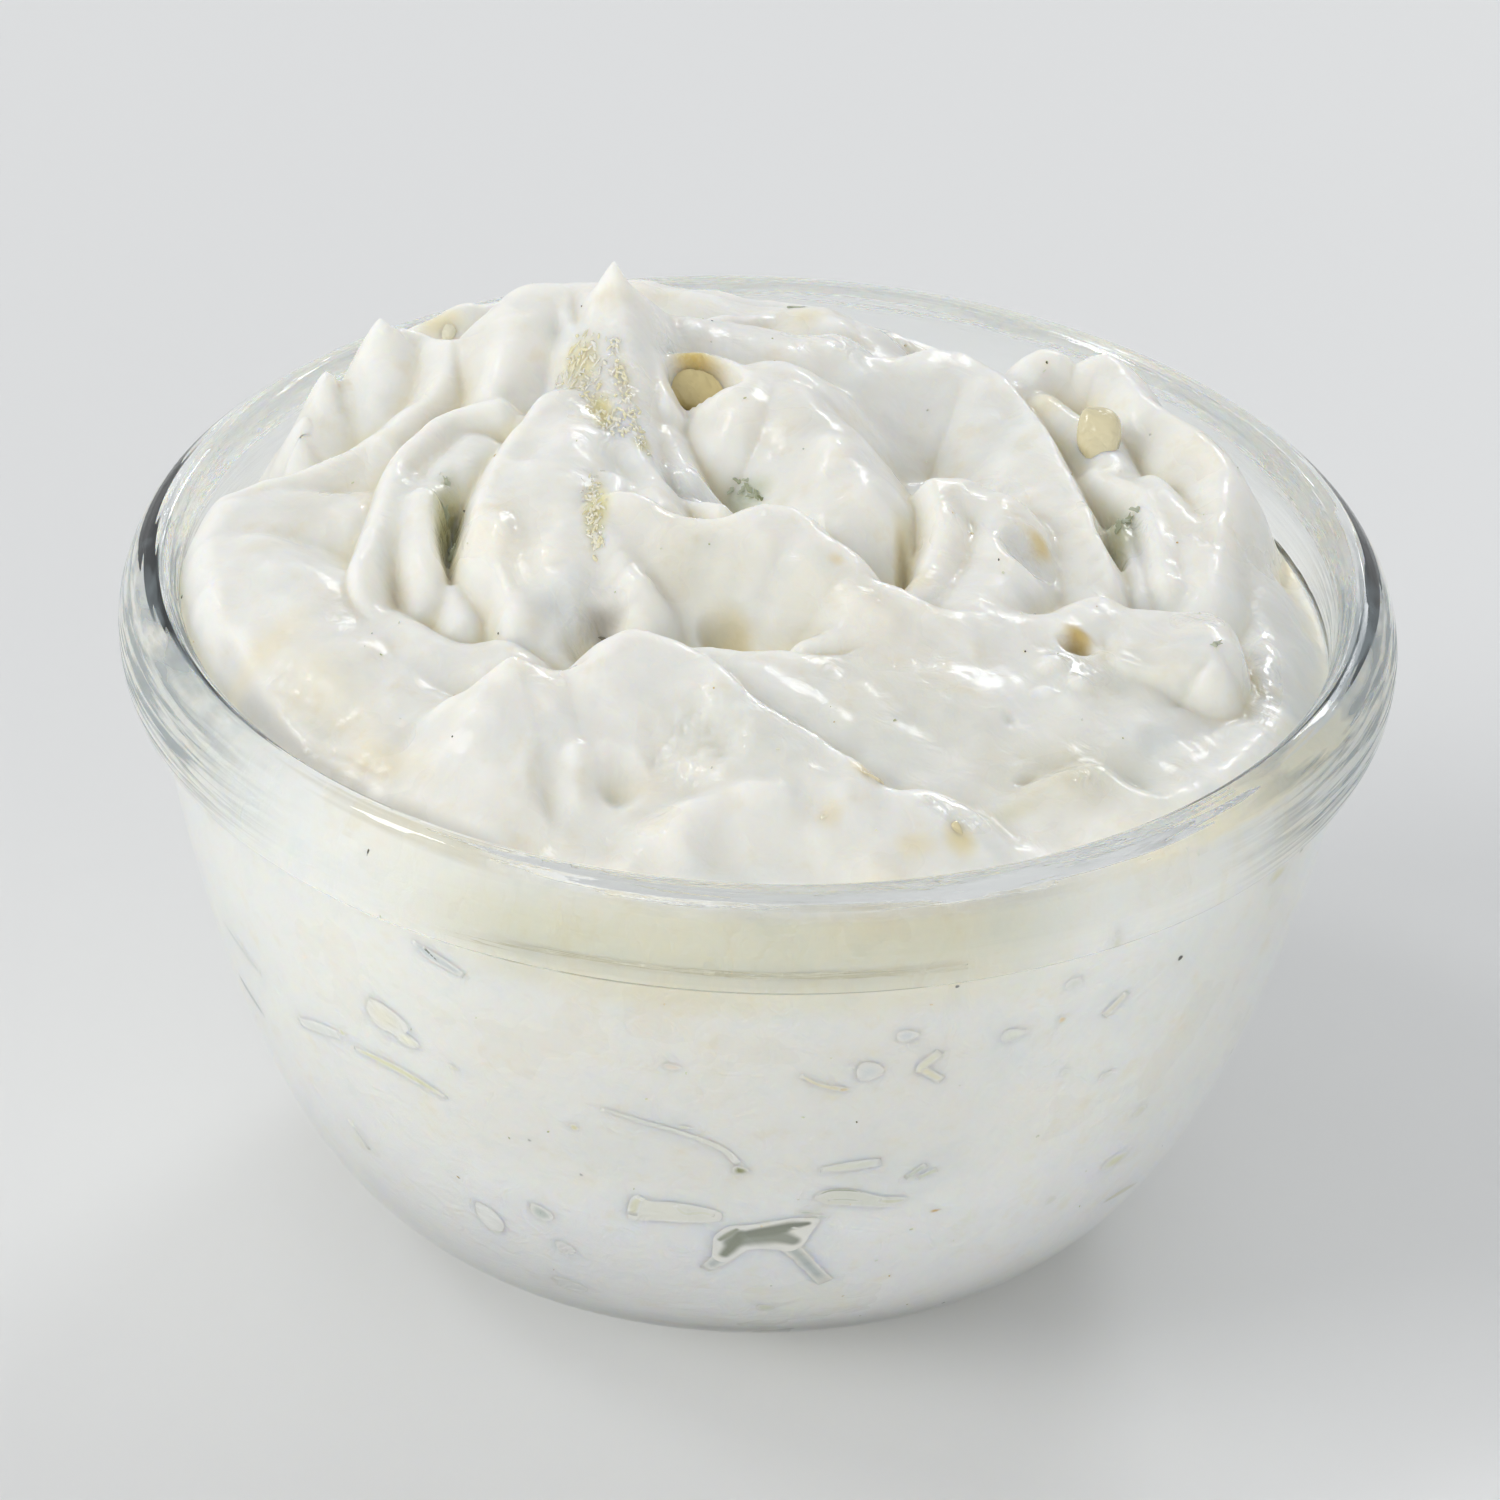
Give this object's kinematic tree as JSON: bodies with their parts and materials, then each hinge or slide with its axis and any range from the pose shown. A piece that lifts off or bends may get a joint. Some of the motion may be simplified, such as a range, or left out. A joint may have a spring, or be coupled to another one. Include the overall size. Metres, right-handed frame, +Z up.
{
  "type": "tzatziki dip in a glass bowl",
  "caption": "Small clear glass bowl with a thick rolled rim, heaped with a spooned white yoghurt, cucumber and dill dip.",
  "frame": {"origin": "centre of the bowl's foot ring, on the surface it stands on", "axes": "+Z up along the bowl's axis; +X and +Y lie in the table's plane, the heap's peak is on the -X, +Y side and its long smooth slope on the +X, -Y side"},
  "size_m": [0.108, 0.108, 0.0733],
  "materials": {
    "clear_glass": "clear, smooth and glossy",
    "tzatziki": "thick strained yoghurt, softly translucent with a moist sheen, pale green cucumber and dark green dill in it"
  },
  "bodies": {
    "root": {"bowl": "clear_glass", "dip": "tzatziki"}
  },
  "joints": []
}
